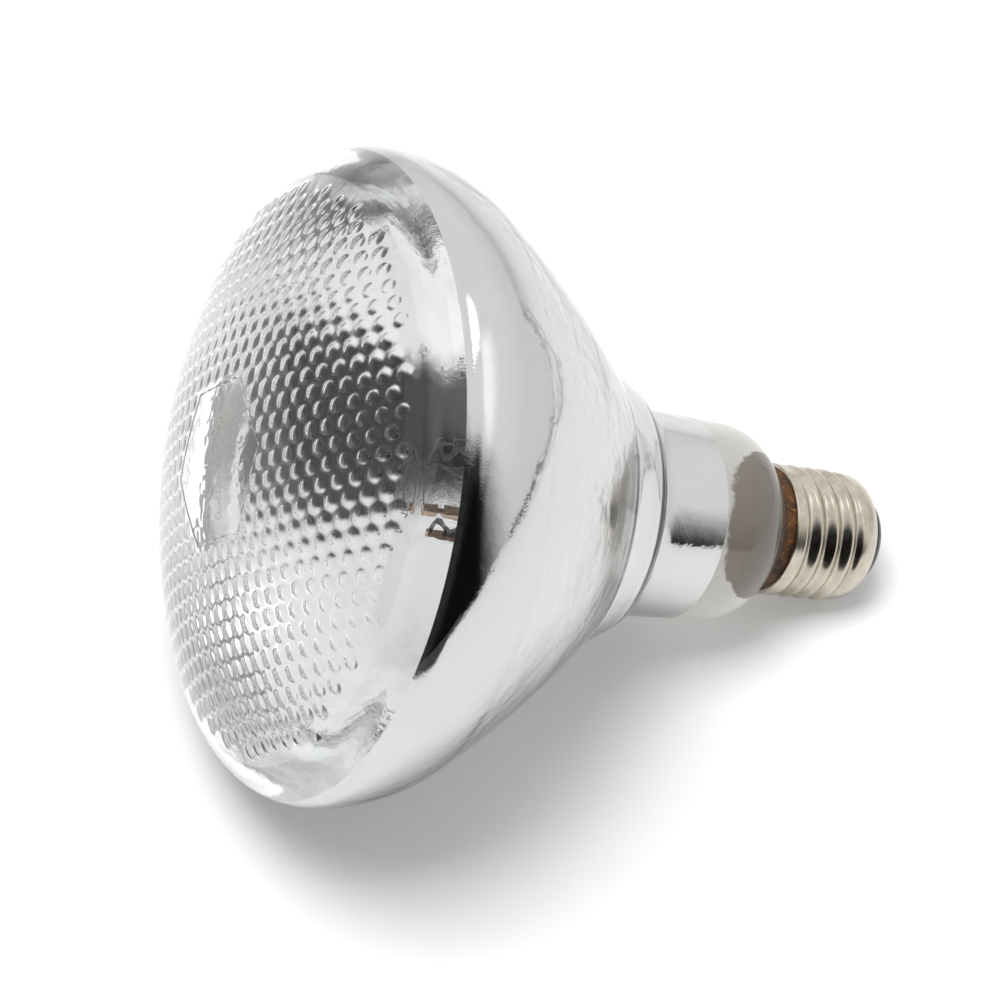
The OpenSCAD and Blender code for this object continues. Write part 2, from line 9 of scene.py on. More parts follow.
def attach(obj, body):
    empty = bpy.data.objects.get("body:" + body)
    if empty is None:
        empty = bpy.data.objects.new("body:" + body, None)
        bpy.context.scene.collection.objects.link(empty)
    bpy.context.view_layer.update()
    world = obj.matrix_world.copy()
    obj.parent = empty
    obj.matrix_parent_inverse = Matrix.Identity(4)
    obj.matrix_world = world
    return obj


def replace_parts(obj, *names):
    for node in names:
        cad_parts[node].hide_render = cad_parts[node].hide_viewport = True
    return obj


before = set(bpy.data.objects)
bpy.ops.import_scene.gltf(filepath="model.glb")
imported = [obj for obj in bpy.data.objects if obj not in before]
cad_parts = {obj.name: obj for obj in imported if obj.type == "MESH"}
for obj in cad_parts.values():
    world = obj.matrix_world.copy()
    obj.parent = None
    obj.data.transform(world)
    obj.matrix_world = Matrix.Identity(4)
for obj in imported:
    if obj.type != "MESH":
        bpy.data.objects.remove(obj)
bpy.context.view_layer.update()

# The bulb's own axis runs from the nose of the lens (depth 0) to the centre contact, in mm.
# LAY turns that frame into the way the bulb lies in the row frame, in metres.
LIE_TILT = 25.421407
NOSE_AT = (-0.0608681, 0, 0.0693694)
MM_PER_M = 1000
LAY = (Matrix.Translation(NOSE_AT)
       @ Matrix.Rotation(math.radians(90 + LIE_TILT), 4, "Y")
       @ Matrix.Scale(1 / MM_PER_M, 4))


def sin_deg(a):
    return math.sin(math.radians(a))


def cos_deg(a):
    return math.cos(math.radians(a))


def smooth_step(low, high, x):
    t = min(1.0, max(0.0, (x - low) / (high - low)))
    return t * t * (3 - 2 * t)


# Outline of the glass

RIM_R, NOSE_R, EDGE_R = 61.5, 111.0, 12.3
LENS_WALL, BOWL_WALL = 3.2, 2.0
WALL_THINS_FROM, WALL_THINS_TO = 55, 100
NECK_R, TAIL_R, TAIL_LEN = 20.3, 11.0, 8.6
BULB_LEN, CAP_LEN, LIP_GAP = 144.5, 24.85, 0.9
LIP_DEPTH = BULB_LEN - CAP_LEN
BELLY_R, BELLY_DEG, FLANK_R, FLANK_DEG = 30.0, 33.4, 185.0, 46.5
WAIST_R, RING_DEG, RING_R, RING_END_DEG, GROOVE_R = 6.0, 28.0, 4.0, 75.0, 2.8
NECK_DEG, SHOULDER_R, SHOULDER_DEG, TAIL_BEND_R = 2.2, 12.0, 46.0, 1.0
NOSE_DEG = math.degrees(math.asin((RIM_R - EDGE_R) / (NOSE_R - EDGE_R)))
FILM_START, FILM_END = 22.6, 100.3


def arc_shift(r, a, b):
    return Vector((r * (sin_deg(b) - sin_deg(a)), r * (cos_deg(a) - cos_deg(b))))


def run_shift(length, a):
    return Vector((length * cos_deg(a), length * sin_deg(a)))


def solve_outline():
    """Stretches as (radius, first slope, last slope, straight run), as the part's source has them."""
    rim_depth = NOSE_R * (1 - cos_deg(NOSE_DEG)) + EDGE_R * cos_deg(NOSE_DEG)
    here = Vector((RIM_R, rim_depth)) + arc_shift(BELLY_R, 90, 90 + BELLY_DEG)
    here += arc_shift(FLANK_R, 90 + BELLY_DEG, 90 + FLANK_DEG)
    here += arc_shift(-WAIST_R, 90 + FLANK_DEG, 90 + RING_DEG)
    ring = arc_shift(RING_R, 90 + RING_DEG, 90 + RING_END_DEG)
    groove = arc_shift(-GROOVE_R, 90 + RING_END_DEG, 90 + NECK_DEG)
    ring_run = (here.x + ring.x + groove.x - NECK_R) / sin_deg(RING_DEG)
    neck_start = here + run_shift(ring_run, 90 + RING_DEG) + ring + groove
    shoulder = arc_shift(SHOULDER_R, 90 + NECK_DEG, 90 + SHOULDER_DEG)
    bend = arc_shift(-TAIL_BEND_R, 90 + SHOULDER_DEG, 90)
    drop = neck_start.x + shoulder.x + bend.x - TAIL_R
    reach = LIP_DEPTH - LIP_GAP - neck_start.y - shoulder.y
    det = sin_deg(NECK_DEG) * cos_deg(SHOULDER_DEG) - cos_deg(NECK_DEG) * sin_deg(SHOULDER_DEG)
    neck_run = (drop * cos_deg(SHOULDER_DEG) - reach * sin_deg(SHOULDER_DEG)) / det
    shoulder_run = (sin_deg(NECK_DEG) * reach - cos_deg(NECK_DEG) * drop) / det
    return [(NOSE_R, 0, NOSE_DEG, 0),
            (EDGE_R, NOSE_DEG, 90, 0),
            (BELLY_R, 90, 90 + BELLY_DEG, 0),
            (FLANK_R, 90 + BELLY_DEG, 90 + FLANK_DEG, 0),
            (-WAIST_R, 90 + FLANK_DEG, 90 + RING_DEG, ring_run),
            (RING_R, 90 + RING_DEG, 90 + RING_END_DEG, 0),
            (-GROOVE_R, 90 + RING_END_DEG, 90 + NECK_DEG, neck_run),
            (SHOULDER_R, 90 + NECK_DEG, 90 + SHOULDER_DEG, shoulder_run),
            (-TAIL_BEND_R, 90 + SHOULDER_DEG, 90, TAIL_LEN)]


STRETCHES = solve_outline()
LONGEST_CHORD = 4


def outline(inset, step=3, run_step=2):
    """Points (out from the axis, depth) along the glass, moved inwards by inset(slope)."""
    points, here = [], Vector((0, 0))
    for r, first, last, run in STRETCHES:
        arc_len = abs(r * math.radians(last - first))
        count = max(3, math.ceil(max(abs(last - first) / step, arc_len / LONGEST_CHORD)))
        for k in range(count):
            a = first + (last - first) * k / count
            inward = inset(a) * Vector((-sin_deg(a), cos_deg(a)))
            points.append(here + arc_shift(r, first, a) + inward)
        here = here + arc_shift(r, first, last)
        inward = inset(last) * Vector((-sin_deg(last), cos_deg(last)))
        for k in range(max(1, math.ceil(run / run_step)) if run else 0):
            points.append(here + run_shift(k * run_step, last) + inward)
        here = here + run_shift(run, last)
    points.append(here + inward)
    return points


def wall_inset(slope):
    return LENS_WALL + (BOWL_WALL - LENS_WALL) * smooth_step(WALL_THINS_FROM, WALL_THINS_TO, slope)


# Making and placing pieces

def new_piece(bm, name, material, sharp_deg=40):
    bmesh.ops.transform(bm, matrix=LAY, verts=bm.verts)
    mesh = bpy.data.meshes.new(name)
    bm.to_mesh(mesh)
    bm.free()
    mesh.polygons.foreach_set("use_smooth", [True] * len(mesh.polygons))
    mesh.set_sharp_from_angle(angle=math.radians(sharp_deg))
    mesh.materials.append(material)
    piece = bpy.data.objects.new(name, mesh)
    bpy.context.scene.collection.objects.link(piece)
    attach(piece, "root")
    return piece


def spin_profile(bm, points, segments=180, closed=False):
    """Turns a line of points (out from the axis, depth) about the axis."""
    verts = [bm.verts.new((p[0], 0, p[1])) for p in points]
    ends = verts[1:] + verts[:1] if closed else verts[1:]
    edges = [bm.edges.new(pair) for pair in zip(verts, ends)]
    bmesh.ops.spin(bm, geom=verts + edges, cent=(0, 0, 0), axis=(0, 0, 1), dvec=(0, 0, 0),
                   angle=2 * math.pi, steps=segments, use_merge=True, use_duplicate=False)
    bmesh.ops.remove_doubles(bm, verts=bm.verts, dist=1e-4)
    bmesh.ops.recalc_face_normals(bm, faces=bm.faces)


def turned_piece(name, points, material, closed=False):
    bm = bmesh.new()
    spin_profile(bm, points, closed=closed)
    return new_piece(bm, name, material)


# Materials

def new_material(name):
    material = bpy.data.materials.new(name)
    material.use_nodes = True
    return material, material.node_tree.links


def shader_of(material):
    return material.node_tree.nodes["Principled BSDF"]


def add_node(material, kind, inputs=None, **settings):
    node = material.node_tree.nodes.new(kind)
    for key, value in settings.items():
        setattr(node, key, value)
    for key, value in (inputs or {}).items():
        if isinstance(value, bpy.types.NodeSocket):
            material.node_tree.links.new(value, node.inputs[key])
        else:
            node.inputs[key].default_value = value
    return node


def object_coords(material):
    return add_node(material, "ShaderNodeTexCoord").outputs["Object"]


def mm_along(material, direction):
    """Distance from the nose of the lens in one direction of the bulb's own frame, in mm."""
    return math_of(material, "MULTIPLY", along_of(material, direction), MM_PER_M)


def depth_of(material):
    """Depth along the bulb's axis, in mm."""
    return mm_along(material, Vector((0, 0, 1)))


def along_of(material, direction):
    """Distance from the nose of the lens in one direction of the bulb's own frame, in metres."""
    shifted = add_node(material, "ShaderNodeVectorMath",
                       {0: object_coords(material), 1: LAY.to_translation()},
                       operation="SUBTRACT").outputs[0]
    return add_node(material, "ShaderNodeVectorMath",
                    {0: shifted, 1: LAY.to_3x3() @ direction * MM_PER_M},
                    operation="DOT_PRODUCT").outputs["Value"]


def noise_of(material, scale, detail=3.0, roughness=0.5, distortion=0.0, coords=None):
    """Noise in object coordinates; scale is in waves per metre."""
    return add_node(material, "ShaderNodeTexNoise",
                    {"Vector": coords or object_coords(material), "Scale": scale, "Detail": detail,
                     "Roughness": roughness, "Distortion": distortion}).outputs["Fac"]


def map_range(material, value, low, high, to_low, to_high):
    return add_node(material, "ShaderNodeMapRange",
                    {"Value": value, "From Min": low, "From Max": high, "To Min": to_low,
                     "To Max": to_high}).outputs["Result"]


def mix_colors(material, factor, a, b):
    node = add_node(material, "ShaderNodeMix", data_type="RGBA")
    links = material.node_tree.links
    links.new(factor, node.inputs[0])
    for socket, value in ((node.inputs[6], a), (node.inputs[7], b)):
        if isinstance(value, bpy.types.NodeSocket):
            links.new(value, socket)
        else:
            socket.default_value = (*value, 1)
    return node.outputs[2]


def bump_from(material, height, distance):
    bump = add_node(material, "ShaderNodeBump", {"Height": height, "Distance": distance})
    material.node_tree.links.new(bump.outputs["Normal"], shader_of(material).inputs["Normal"])


def math_of(material, operation, a, b=0.0, c=0.0):
    return add_node(material, "ShaderNodeMath", {0: a, 1: b, 2: c}, operation=operation).outputs[0]


def ripples(material, layers):
    """Adds up noises of (scale, detail, height in metres) and bends the surface with them."""
    total = 0.0
    for scale, detail, height in layers:
        total = math_of(material, "MULTIPLY_ADD", noise_of(material, scale, detail), height, total)
    bump_from(material, total, 1.0)


def bulb_glass():
    """Clear hard glass; slow waves of a few millimetres bend what shows through it."""
    material, links = new_material("clear_hard_glass")
    shader = shader_of(material)
    shader.inputs["Transmission Weight"].default_value = 1
    shader.inputs["IOR"].default_value = 1.47
    shader.inputs["Roughness"].default_value = 0
    tint = noise_of(material, 40, 2)
    links.new(mix_colors(material, tint, (0.985, 0.99, 0.985), (0.97, 0.975, 0.97)),
              shader.inputs["Base Color"])
    ripples(material, [(330, 1, 0.00002), (60, 1, 0.00008)])
    return material


def silver_film(name, dark, light):
    """Bright aluminium film with the glass's ripples and a fine pebbled grain."""
    material, links = new_material(name)
    shader = shader_of(material)
    shader.inputs["Metallic"].default_value = 1
    links.new(mix_colors(material, noise_of(material, 60, 3), dark, light), shader.inputs["Base Color"])
    links.new(map_range(material, noise_of(material, 200, 3), 0.3, 0.7, 0.01, 0.04),
              shader.inputs["Roughness"])
    ripples(material, [(330, 1, 0.00003), (2500, 1, 0.000008), (60, 1, 0.0001)])
    return material


def plain_metal(name, dark, light, rough_low, rough_high, scale, bump=0.00001):
    material, links = new_material(name)
    shader = shader_of(material)
    shader.inputs["Metallic"].default_value = 1
    worn = noise_of(material, scale, 4, 0.6)
    links.new(mix_colors(material, map_range(material, worn, 0.35, 0.65, 0, 1), dark, light),
              shader.inputs["Base Color"])
    links.new(map_range(material, worn, 0.3, 0.7, rough_low, rough_high), shader.inputs["Roughness"])
    bump_from(material, noise_of(material, scale * 3, 3), bump)
    return material


def rough_cement():
    """Baked basing cement, dark rusty brown with lighter orange grains."""
    material, links = new_material("rusty_brown_cement")
    shader = shader_of(material)
    grain = noise_of(material, 1500, 4, 0.65)
    patches = noise_of(material, 350, 3, 0.6)
    base = mix_colors(material, map_range(material, patches, 0.4, 0.65, 0, 1),
                      (0.045, 0.02, 0.008), (0.16, 0.065, 0.018))
    bare_grains = map_range(material, grain, 0.58, 0.68, 0, 1)
    links.new(mix_colors(material, bare_grains, base, (0.42, 0.2, 0.05)), shader.inputs["Base Color"])
    shader.inputs["Roughness"].default_value = 0.65
    bump_from(material, grain, 0.00015)
    return material


# The smoke stain has its middle at STAIN_TURN round the neck and starts at STAIN_DEPTH there.
# Its edge draws back towards the cap with the third power of the turn away from that middle.
STAIN_TURN, STAIN_DEPTH, STAIN_EDGE = 222.0, 103.0, 0.8
STAIN_BEND, STAIN_TIGHT, STAIN_RAGGED = 7, 1.18, 5
SMOKE_THICKENS_FROM, SMOKE_THICKENS_TO = 104, 117
STAIN_FRONT = Vector((cos_deg(STAIN_TURN), sin_deg(STAIN_TURN), 0))
STAIN_SIDE = Vector((-sin_deg(STAIN_TURN), cos_deg(STAIN_TURN), 0))
HAZE_COVER, SMOKE_COVER = 0.86, 0.94
# The glass around the haze holds back light that real haze would get, so a faint glow stands in.
HAZE_GLOW = 0.16


def stain_share(material, ragged, depth):
    """1 on the smoke stain and 0 on the plain haze."""
    turn = math_of(material, "ARCTAN2", mm_along(material, STAIN_SIDE), mm_along(material, STAIN_FRONT))
    away = math_of(material, "ABSOLUTE", math_of(material, "MULTIPLY", turn, STAIN_TIGHT))
    drawn_back = math_of(material, "MULTIPLY_ADD", math_of(material, "POWER", away, 3), -STAIN_BEND, depth)
    edge = math_of(material, "MULTIPLY_ADD", ragged, STAIN_RAGGED, drawn_back)
    return map_range(material, edge, STAIN_DEPTH, STAIN_DEPTH + STAIN_EDGE, 0, 1)


def neck_haze():
    """Cream haze on the bare neck, with a ragged brown-grey smoke stain on the side to the camera."""
    material, links = new_material("smoked_neck_haze")
    shader = shader_of(material)
    ragged = noise_of(material, 300, 5, 0.62)
    cloud = noise_of(material, 90, 3, 0.5)
    depth = depth_of(material)
    stain = stain_share(material, ragged, depth)
    cream = mix_colors(material, cloud, (0.85, 0.83, 0.78), (0.92, 0.905, 0.87))
    thick = map_range(material, depth, SMOKE_THICKENS_FROM, SMOKE_THICKENS_TO, 0, 1)
    smoke = mix_colors(material, thick, (0.34, 0.29, 0.24), (0.16, 0.145, 0.135))
    colour = mix_colors(material, stain, cream, smoke)
    links.new(colour, shader.inputs["Base Color"])
    links.new(colour, shader.inputs["Emission Color"])
    shader.inputs["Emission Strength"].default_value = HAZE_GLOW
    links.new(map_range(material, stain, 0, 1, HAZE_COVER, SMOKE_COVER), shader.inputs["Alpha"])
    shader.inputs["Roughness"].default_value = 0.55
    bump_from(material, ragged, 0.00002)
    return material


def black_insulator():
    material, links = new_material("black_cap_glass")
    shader = shader_of(material)
    speck = noise_of(material, 900, 3)
    links.new(mix_colors(material, speck, (0.008, 0.01, 0.016), (0.02, 0.024, 0.032)),
              shader.inputs["Base Color"])
    links.new(map_range(material, noise_of(material, 300, 3), 0.3, 0.7, 0.08, 0.2),
              shader.inputs["Roughness"])
    bump_from(material, noise_of(material, 500, 2), 0.00002)
    return material


glass = bulb_glass()
haze = neck_haze()
silver_inside = silver_film("film_seen_from_inside", (0.8, 0.805, 0.81), (0.86, 0.865, 0.865))
silver_outside = silver_film("film_seen_through_glass", (0.61, 0.615, 0.61), (0.67, 0.675, 0.67))
nickel = plain_metal("nickel_plated_brass", (0.48, 0.435, 0.36), (0.63, 0.58, 0.495), 0.16, 0.28, 300)
copper = plain_metal("heat_tinted_copper", (0.5, 0.35, 0.27), (0.76, 0.62, 0.5), 0.2, 0.4, 900)
tungsten = plain_metal("grey_tungsten", (0.2, 0.2, 0.21), (0.36, 0.36, 0.37), 0.3, 0.5, 1500)
brass = plain_metal("stamped_brass", (0.58, 0.42, 0.2), (0.76, 0.6, 0.32), 0.2, 0.4, 500)
solder = plain_metal("dull_solder", (0.42, 0.42, 0.43), (0.58, 0.58, 0.6), 0.25, 0.5, 700, 0.00005)
cement = rough_cement()
black_glass = black_insulator()


# Glass with its dimpled lens

PITCH, DIMPLE_R, DIMPLE_DEPTH = 3.85, 1.55, 0.28
PIT_RINGS, CELL_SIDES = (0.82, 0.6, 0.32), 18
FIELD_R, FIELD_EDGE, LENS_EDGE_DEPTH = 53.5, 53.6, 15
WINDOW_R, WINDOW_RISE, WINDOW_TURN = 16.5, 0.4, -31.0
WINDOW_RINGS, WINDOW_CUTS = (0.975, 0.9, 0.7, 0.5, 0.3, 0.12), 9
WINDOW_FLAT_R = WINDOW_R * cos_deg(30)
INNER_NOSE_R = NOSE_R - LENS_WALL
GLASS_SEGMENTS = 180
NEAR = 0.01


def hex_reach(x, y):
    return max(x * cos_deg(30 + 60 * k) + y * sin_deg(30 + 60 * k) for k in range(6))


def dimple_places():
    rows = math.ceil(FIELD_R / (PITCH * cos_deg(30)))
    for row in range(-rows, rows + 1):
        for col in range(-rows, rows + 1):
            x, y = PITCH * (col + row / 2), PITCH * row * cos_deg(30)
            in_field = math.hypot(x, y) < FIELD_R - PITCH / 2
            if in_field and hex_reach(x, y) > WINDOW_FLAT_R + PITCH / 2:
                yield x, y


def inner_ring(bm, loop_edges, place):
    """Extrudes a loop of edges and puts each new vertex where place(old position) says."""
    grown = bmesh.ops.extrude_edge_only(bm, edges=loop_edges)["geom"]
    for v in grown:
        if isinstance(v, bmesh.types.BMVert):
            v.co = place(v.co)
    return [e for e in grown if isinstance(e, bmesh.types.BMEdge)]


def one_dimple_cell():
    """A six-sided cell of the inner face with one round pit; z holds the depth of the pit."""
    bm = bmesh.new()
    bmesh.ops.create_circle(bm, segments=CELL_SIDES, radius=1)
    for v in bm.verts:
        turn = math.degrees(math.atan2(v.co.y, v.co.x))
        v.co = v.co.normalized() * (PITCH / 2 / cos_deg((turn + 30) % 60 - 30))
    edges = inner_ring(bm, bm.edges[:], lambda co: co.normalized() * DIMPLE_R)
    ball = (DIMPLE_R ** 2 + DIMPLE_DEPTH ** 2) / (2 * DIMPLE_DEPTH)
    for share in PIT_RINGS:
        r = DIMPLE_R * share
        sunk = Vector((0, 0, math.sqrt(ball ** 2 - r ** 2) - ball + DIMPLE_DEPTH))
        edges = inner_ring(bm, edges, lambda co: Vector((co.x, co.y, 0)).normalized() * r + sunk)
    edges = inner_ring(bm, edges, lambda co: Vector((0, 0, DIMPLE_DEPTH)))
    bmesh.ops.remove_doubles(bm, verts=bm.verts, dist=1e-4)
    mesh = bpy.data.meshes.new("dimple_cell")
    bm.to_mesh(mesh)
    bm.free()
    return mesh


def dimpled_field(bm):
    """The middle of the lens's inner face, flat at first: cells, window, and what lies between."""
    cell = one_dimple_cell()
    for x, y in dimple_places():
        known = len(bm.verts)
        bm.from_mesh(cell)
        bm.verts.ensure_lookup_table()
        bmesh.ops.translate(bm, vec=(x, y, 0), verts=bm.verts[known:])
    bpy.data.meshes.remove(cell)
    bmesh.ops.remove_doubles(bm, verts=bm.verts, dist=1e-3)
    field_border = [e for e in bm.edges if e.is_boundary]
    rim = bmesh.ops.create_circle(bm, segments=GLASS_SEGMENTS, radius=FIELD_EDGE,
                                  matrix=Matrix.Rotation(math.radians(-WINDOW_TURN), 4, "Z"))
    rim_edges = {e for v in rim["verts"] for e in v.link_edges}
    corners = [bm.verts.new((WINDOW_R * cos_deg(60 * k), WINDOW_R * sin_deg(60 * k), 0)) for k in range(6)]
    window = [bm.edges.new((corners[k], corners[(k + 1) % 6])) for k in range(6)]
    bmesh.ops.subdivide_edges(bm, edges=window, cuts=WINDOW_CUTS)
    window = [e for e in bm.edges if not e.link_faces and e not in rim_edges]
    between = field_border + list(rim_edges) + window
    bmesh.ops.triangle_fill(bm, edges=between, use_beauty=True, normal=(0, 0, 1))
    inside = [f for f in bm.faces if hex_reach(*f.calc_center_median().xy) < WINDOW_FLAT_R - NEAR]
    bmesh.ops.delete(bm, geom=inside, context="FACES")
    edges = [e for e in bm.edges if len(e.link_faces) == 1
             and hex_reach(*e.verts[0].co.xy) < WINDOW_FLAT_R + NEAR]
    for share in WINDOW_RINGS:
        edges = inner_ring(bm, edges, lambda co: window_point(co, share))
    inner_ring(bm, edges, lambda co: Vector((0, 0, -WINDOW_RISE)))


def window_point(co, share):
    reach = hex_reach(co.x, co.y)
    return Vector((co.x, co.y, 0)) * (share * WINDOW_FLAT_R / reach) - Vector((0, 0, WINDOW_RISE))


def glass_bulb():
    """The lens and bowl as one closed skin: the flat field is bent onto the lens's inner ball first."""
    bm = bmesh.new()
    dimpled_field(bm)
    bmesh.ops.rotate(bm, matrix=Matrix.Rotation(math.radians(WINDOW_TURN), 3, "Z"), verts=bm.verts)
    for v in bm.verts:
        back = -math.sqrt(INNER_NOSE_R ** 2 - v.co.x ** 2 - v.co.y ** 2)
        out = Vector((v.co.x, v.co.y, back)).normalized()
        v.co = Vector((0, 0, NOSE_R)) + out * (INNER_NOSE_R + v.co.z)
    inner_line = outline(wall_inset, step=5, run_step=4)
    inner = [p for p in inner_line if p.x > FIELD_EDGE or p.y > LENS_EDGE_DEPTH]
    start = Vector((FIELD_EDGE, NOSE_R - math.sqrt(INNER_NOSE_R ** 2 - FIELD_EDGE ** 2)))
    outer = outline(lambda slope: 0)
    spin_profile(bm, [start] + inner + outer[::-1], GLASS_SEGMENTS)
    return new_piece(bm, "glass_bulb", glass, 20)


bulb = glass_bulb()
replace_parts(bulb, "front_lens", "reflector_bowl")


# Film, and haze with smoke in the neck, all a hair inside the glass

FILM_IN_GLASS, FILM_T = 0.02, 0.012
HAZE_START, HAZE_END = FILM_END + 0.05, LIP_DEPTH - LIP_GAP - 0.2


def lining(name, start, end, material):
    """A thin closed band in the inner face of the glass, between two depths."""
    along = outline(lambda slope: wall_inset(slope) - FILM_IN_GLASS)
    line = []
    for a, b in zip(along, along[1:]):
        if start < a.y < end:
            line.append(a)
        line += [a.lerp(b, (cut - a.y) / (b.y - a.y)) for cut in (start, end) if a.y <= cut < b.y]
    back = [Vector((p.x - FILM_T, p.y)) for p in line[::-1]]
    return turned_piece(name, line + back, material, closed=True)


film = lining("mirror_film", FILM_START, FILM_END, silver_outside)
film.data.materials.append(silver_inside)
to_bulb = LAY.inverted()
for face in film.data.polygons:
    middle, facing = to_bulb @ face.center, to_bulb.to_3x3() @ face.normal
    face.material_index = 1 if facing.x * middle.x + facing.y * middle.y < 0 else 0
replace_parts(film, "mirror_coating")

lining("neck_haze", HAZE_START, HAZE_END, haze)


# Coil

RING_OF_HOOKS_R, COIL_DEPTH, FIRST_TURN, CHORDS = 8.5, 45.07, -46.0, 5
COIL_R, COIL_WIRE_R, COIL_PITCH = 0.35, 0.05, 0.26
COIL_SAG, STEPS_A_TURN = 0.5, 10


def tube_along(name, path, radius, material, resolution=2):
    curve = bpy.data.curves.new(name, "CURVE")
    curve.dimensions = "3D"
    spline = curve.splines.new("POLY")
    spline.points.add(len(path) - 1)
    for point, co in zip(spline.points, path):
        point.co = (*co, 1)
    curve.bevel_depth = radius
    curve.bevel_resolution = resolution
    curve.use_fill_caps = True
    helper = bpy.data.objects.new(name + "_path", curve)
    mesh = bpy.data.meshes.new_from_object(helper)
    bm = bmesh.new()
    bm.from_mesh(mesh)
    bpy.data.objects.remove(helper)
    bpy.data.curves.remove(curve)
    bpy.data.meshes.remove(mesh)
    return new_piece(bm, name, material, 60)


def coil_path():
    """The fine wire's way round each chord of the coil, from hook to hook."""
    turns = [FIRST_TURN - 60 * k for k in range(CHORDS + 1)]
    corners = [Vector((RING_OF_HOOKS_R * cos_deg(turn), RING_OF_HOOKS_R * sin_deg(turn), COIL_DEPTH))
               for turn in turns]
    path, phase = [], 0.0
    for a, b in zip(corners, corners[1:]):
        along = (b - a).normalized()
        up = Vector((0, 0, 1))
        side = along.cross(up)
        count = round((b - a).length / COIL_PITCH * STEPS_A_TURN)
        for k in range(count):
            phase += 360 / STEPS_A_TURN
            sag = COIL_SAG * math.sin(math.pi * k / count)
            centre = a.lerp(b, k / count) - up * sag
            path.append(centre + COIL_R * (cos_deg(phase) * up + sin_deg(phase) * side))
    return path


coil = tube_along("tungsten_coil", coil_path(), COIL_WIRE_R, tungsten, 1)
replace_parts(coil, "filament")


# Cap

THREAD_R, ROOT_R, THREAD_PITCH = 13.1, 12.15, 3.629
LIP_LEN, THREAD_LEN, SHELL_LEN, SHELL_WALL, SHELL_END_R = 1.6, 14.6, 20.6, 0.3, 9.7
LIP_ROUNDING = [(0.0, THREAD_R - 0.15), (0.08, THREAD_R - 0.04), (0.2, THREAD_R)]
END_BEVEL, THREAD_ROWS, AXIS_ZONE_R = 0.15, 120, 2
MIDDLE_R = (THREAD_R + ROOT_R) / 2
START_R = MIDDLE_R + 0.1
CREST_AT = LIP_LEN + THREAD_LEN - THREAD_PITCH / 2
THREAD_END = LIP_LEN + THREAD_LEN


def thread_radius(h, turn):
    """Radius of the rolled thread, which fades into the plain lip and the plain end within half a turn."""
    fade = min(1, 2 * (h - LIP_LEN) / THREAD_PITCH, 2 * (THREAD_END - h) / THREAD_PITCH)
    plain = THREAD_R if h < CREST_AT else START_R
    swing = cos_deg(360 * (h - CREST_AT) / THREAD_PITCH - turn)
    wave = MIDDLE_R + (THREAD_R - ROOT_R) / 2 * swing
    return plain + (wave - plain) * smooth_step(0, 1, fade)


def cap_shell():
    """The shell is spun with its thread rows near the axis, and each row then goes out to the thread."""
    bm = bmesh.new()
    rows = LIP_ROUNDING + [(LIP_LEN * k / 4, THREAD_R) for k in (1, 2, 3)]
    rows += [(LIP_LEN + THREAD_LEN * k / THREAD_ROWS, 0) for k in range(THREAD_ROWS + 1)]
    shoulder = [(THREAD_END + (SHELL_LEN - THREAD_END) * sin_deg(a),
                 SHELL_END_R + (START_R - SHELL_END_R) * cos_deg(a)) for a in range(6, 91, 6)]
    inner_r = ROOT_R - SHELL_WALL
    back = [(SHELL_LEN - END_BEVEL, SHELL_END_R - SHELL_WALL), (THREAD_END, inner_r), (0.0, inner_r)]
    rows += shoulder + back
    spin_profile(bm, [(r or 1, LIP_DEPTH + h + (0.001 * r if r else 0)) for h, r in rows], closed=True)
    for v in bm.verts:
        h = v.co.z - LIP_DEPTH
        if math.hypot(v.co.x, v.co.y) < AXIS_ZONE_R:
            turn = math.degrees(math.atan2(v.co.y, v.co.x))
            r = thread_radius(h, turn)
            v.co.x, v.co.y = r * cos_deg(turn), r * sin_deg(turn)
    bmesh.ops.recalc_face_normals(bm, faces=bm.faces)
    return new_piece(bm, "threaded_cap", nickel, 50)


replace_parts(cap_shell(), "cap_shell")

for name, material in {"stem_flare": glass, "exhaust_tube": glass, "arbor_rod": glass,
                       "filament_supports": tungsten, "inner_leads": copper, "shell_lead": copper,
                       "contact_lead": copper, "cap_cement": cement, "cap_insulator": black_glass,
                       "centre_contact": brass, "contact_solder": solder}.items():
    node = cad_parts[name]
    node.data.materials.clear()
    node.data.materials.append(material)


# Floor, light and camera

PAPER_GLOW = 0.24


def white_paper():
    """White paper that glows a little for the camera, for mirrors and through glass."""
    material, links = new_material("white_paper_floor")
    shader = shader_of(material)
    weave = noise_of(material, 400, 2)
    links.new(mix_colors(material, weave, (0.78, 0.78, 0.78), (0.8, 0.8, 0.8)), shader.inputs["Base Color"])
    shader.inputs["Roughness"].default_value = 0.9
    path = add_node(material, "ShaderNodeLightPath").outputs
    seen = math_of(material, "MAXIMUM", path["Is Camera Ray"], path["Is Glossy Ray"])
    seen = math_of(material, "MAXIMUM", seen, path["Is Transmission Ray"])
    strength = math_of(material, "MULTIPLY", seen, PAPER_GLOW)
    shader.inputs["Emission Color"].default_value = (1, 1, 1, 1)
    links.new(strength, shader.inputs["Emission Strength"])
    return material


# The edge of the white paper, from far behind the bulb round its right side to the table's front.
PAPER_EDGE = [Vector((5.2, 2.95, 0)), Vector((0.213, 0.1, 0)), Vector((0.215, 0.045, 0)),
              Vector((0.4, -0.075, 0)), Vector((0.84, -0.6, 0)), Vector((-6.0, -0.6, 0))]
# The painted shadow along the paper's edge: the way each stretch of it widens out, its width per metre of
# distance, its lift off the floor and its steps per stretch.
EDGE_SHADOW_SIDES = [Vector((0.5, -0.5, 0)), Vector((0.95, -0.1, 0)), Vector((0.8, 1.0, 0)),
             Vector((2.4, 2.0, 0))]
EDGE_SHADOW_SHARE, EDGE_SHADOW_LIFT, EDGE_SHADOW_STEPS = 0.04, 0.0003, 12
FAR, FAR_EDGE_Y = 6.0, PAPER_EDGE[0].y
PAPER_MIDDLE, BEYOND_MIDDLE = Vector((-1, 0, 0)), Vector((3, -1, 0))


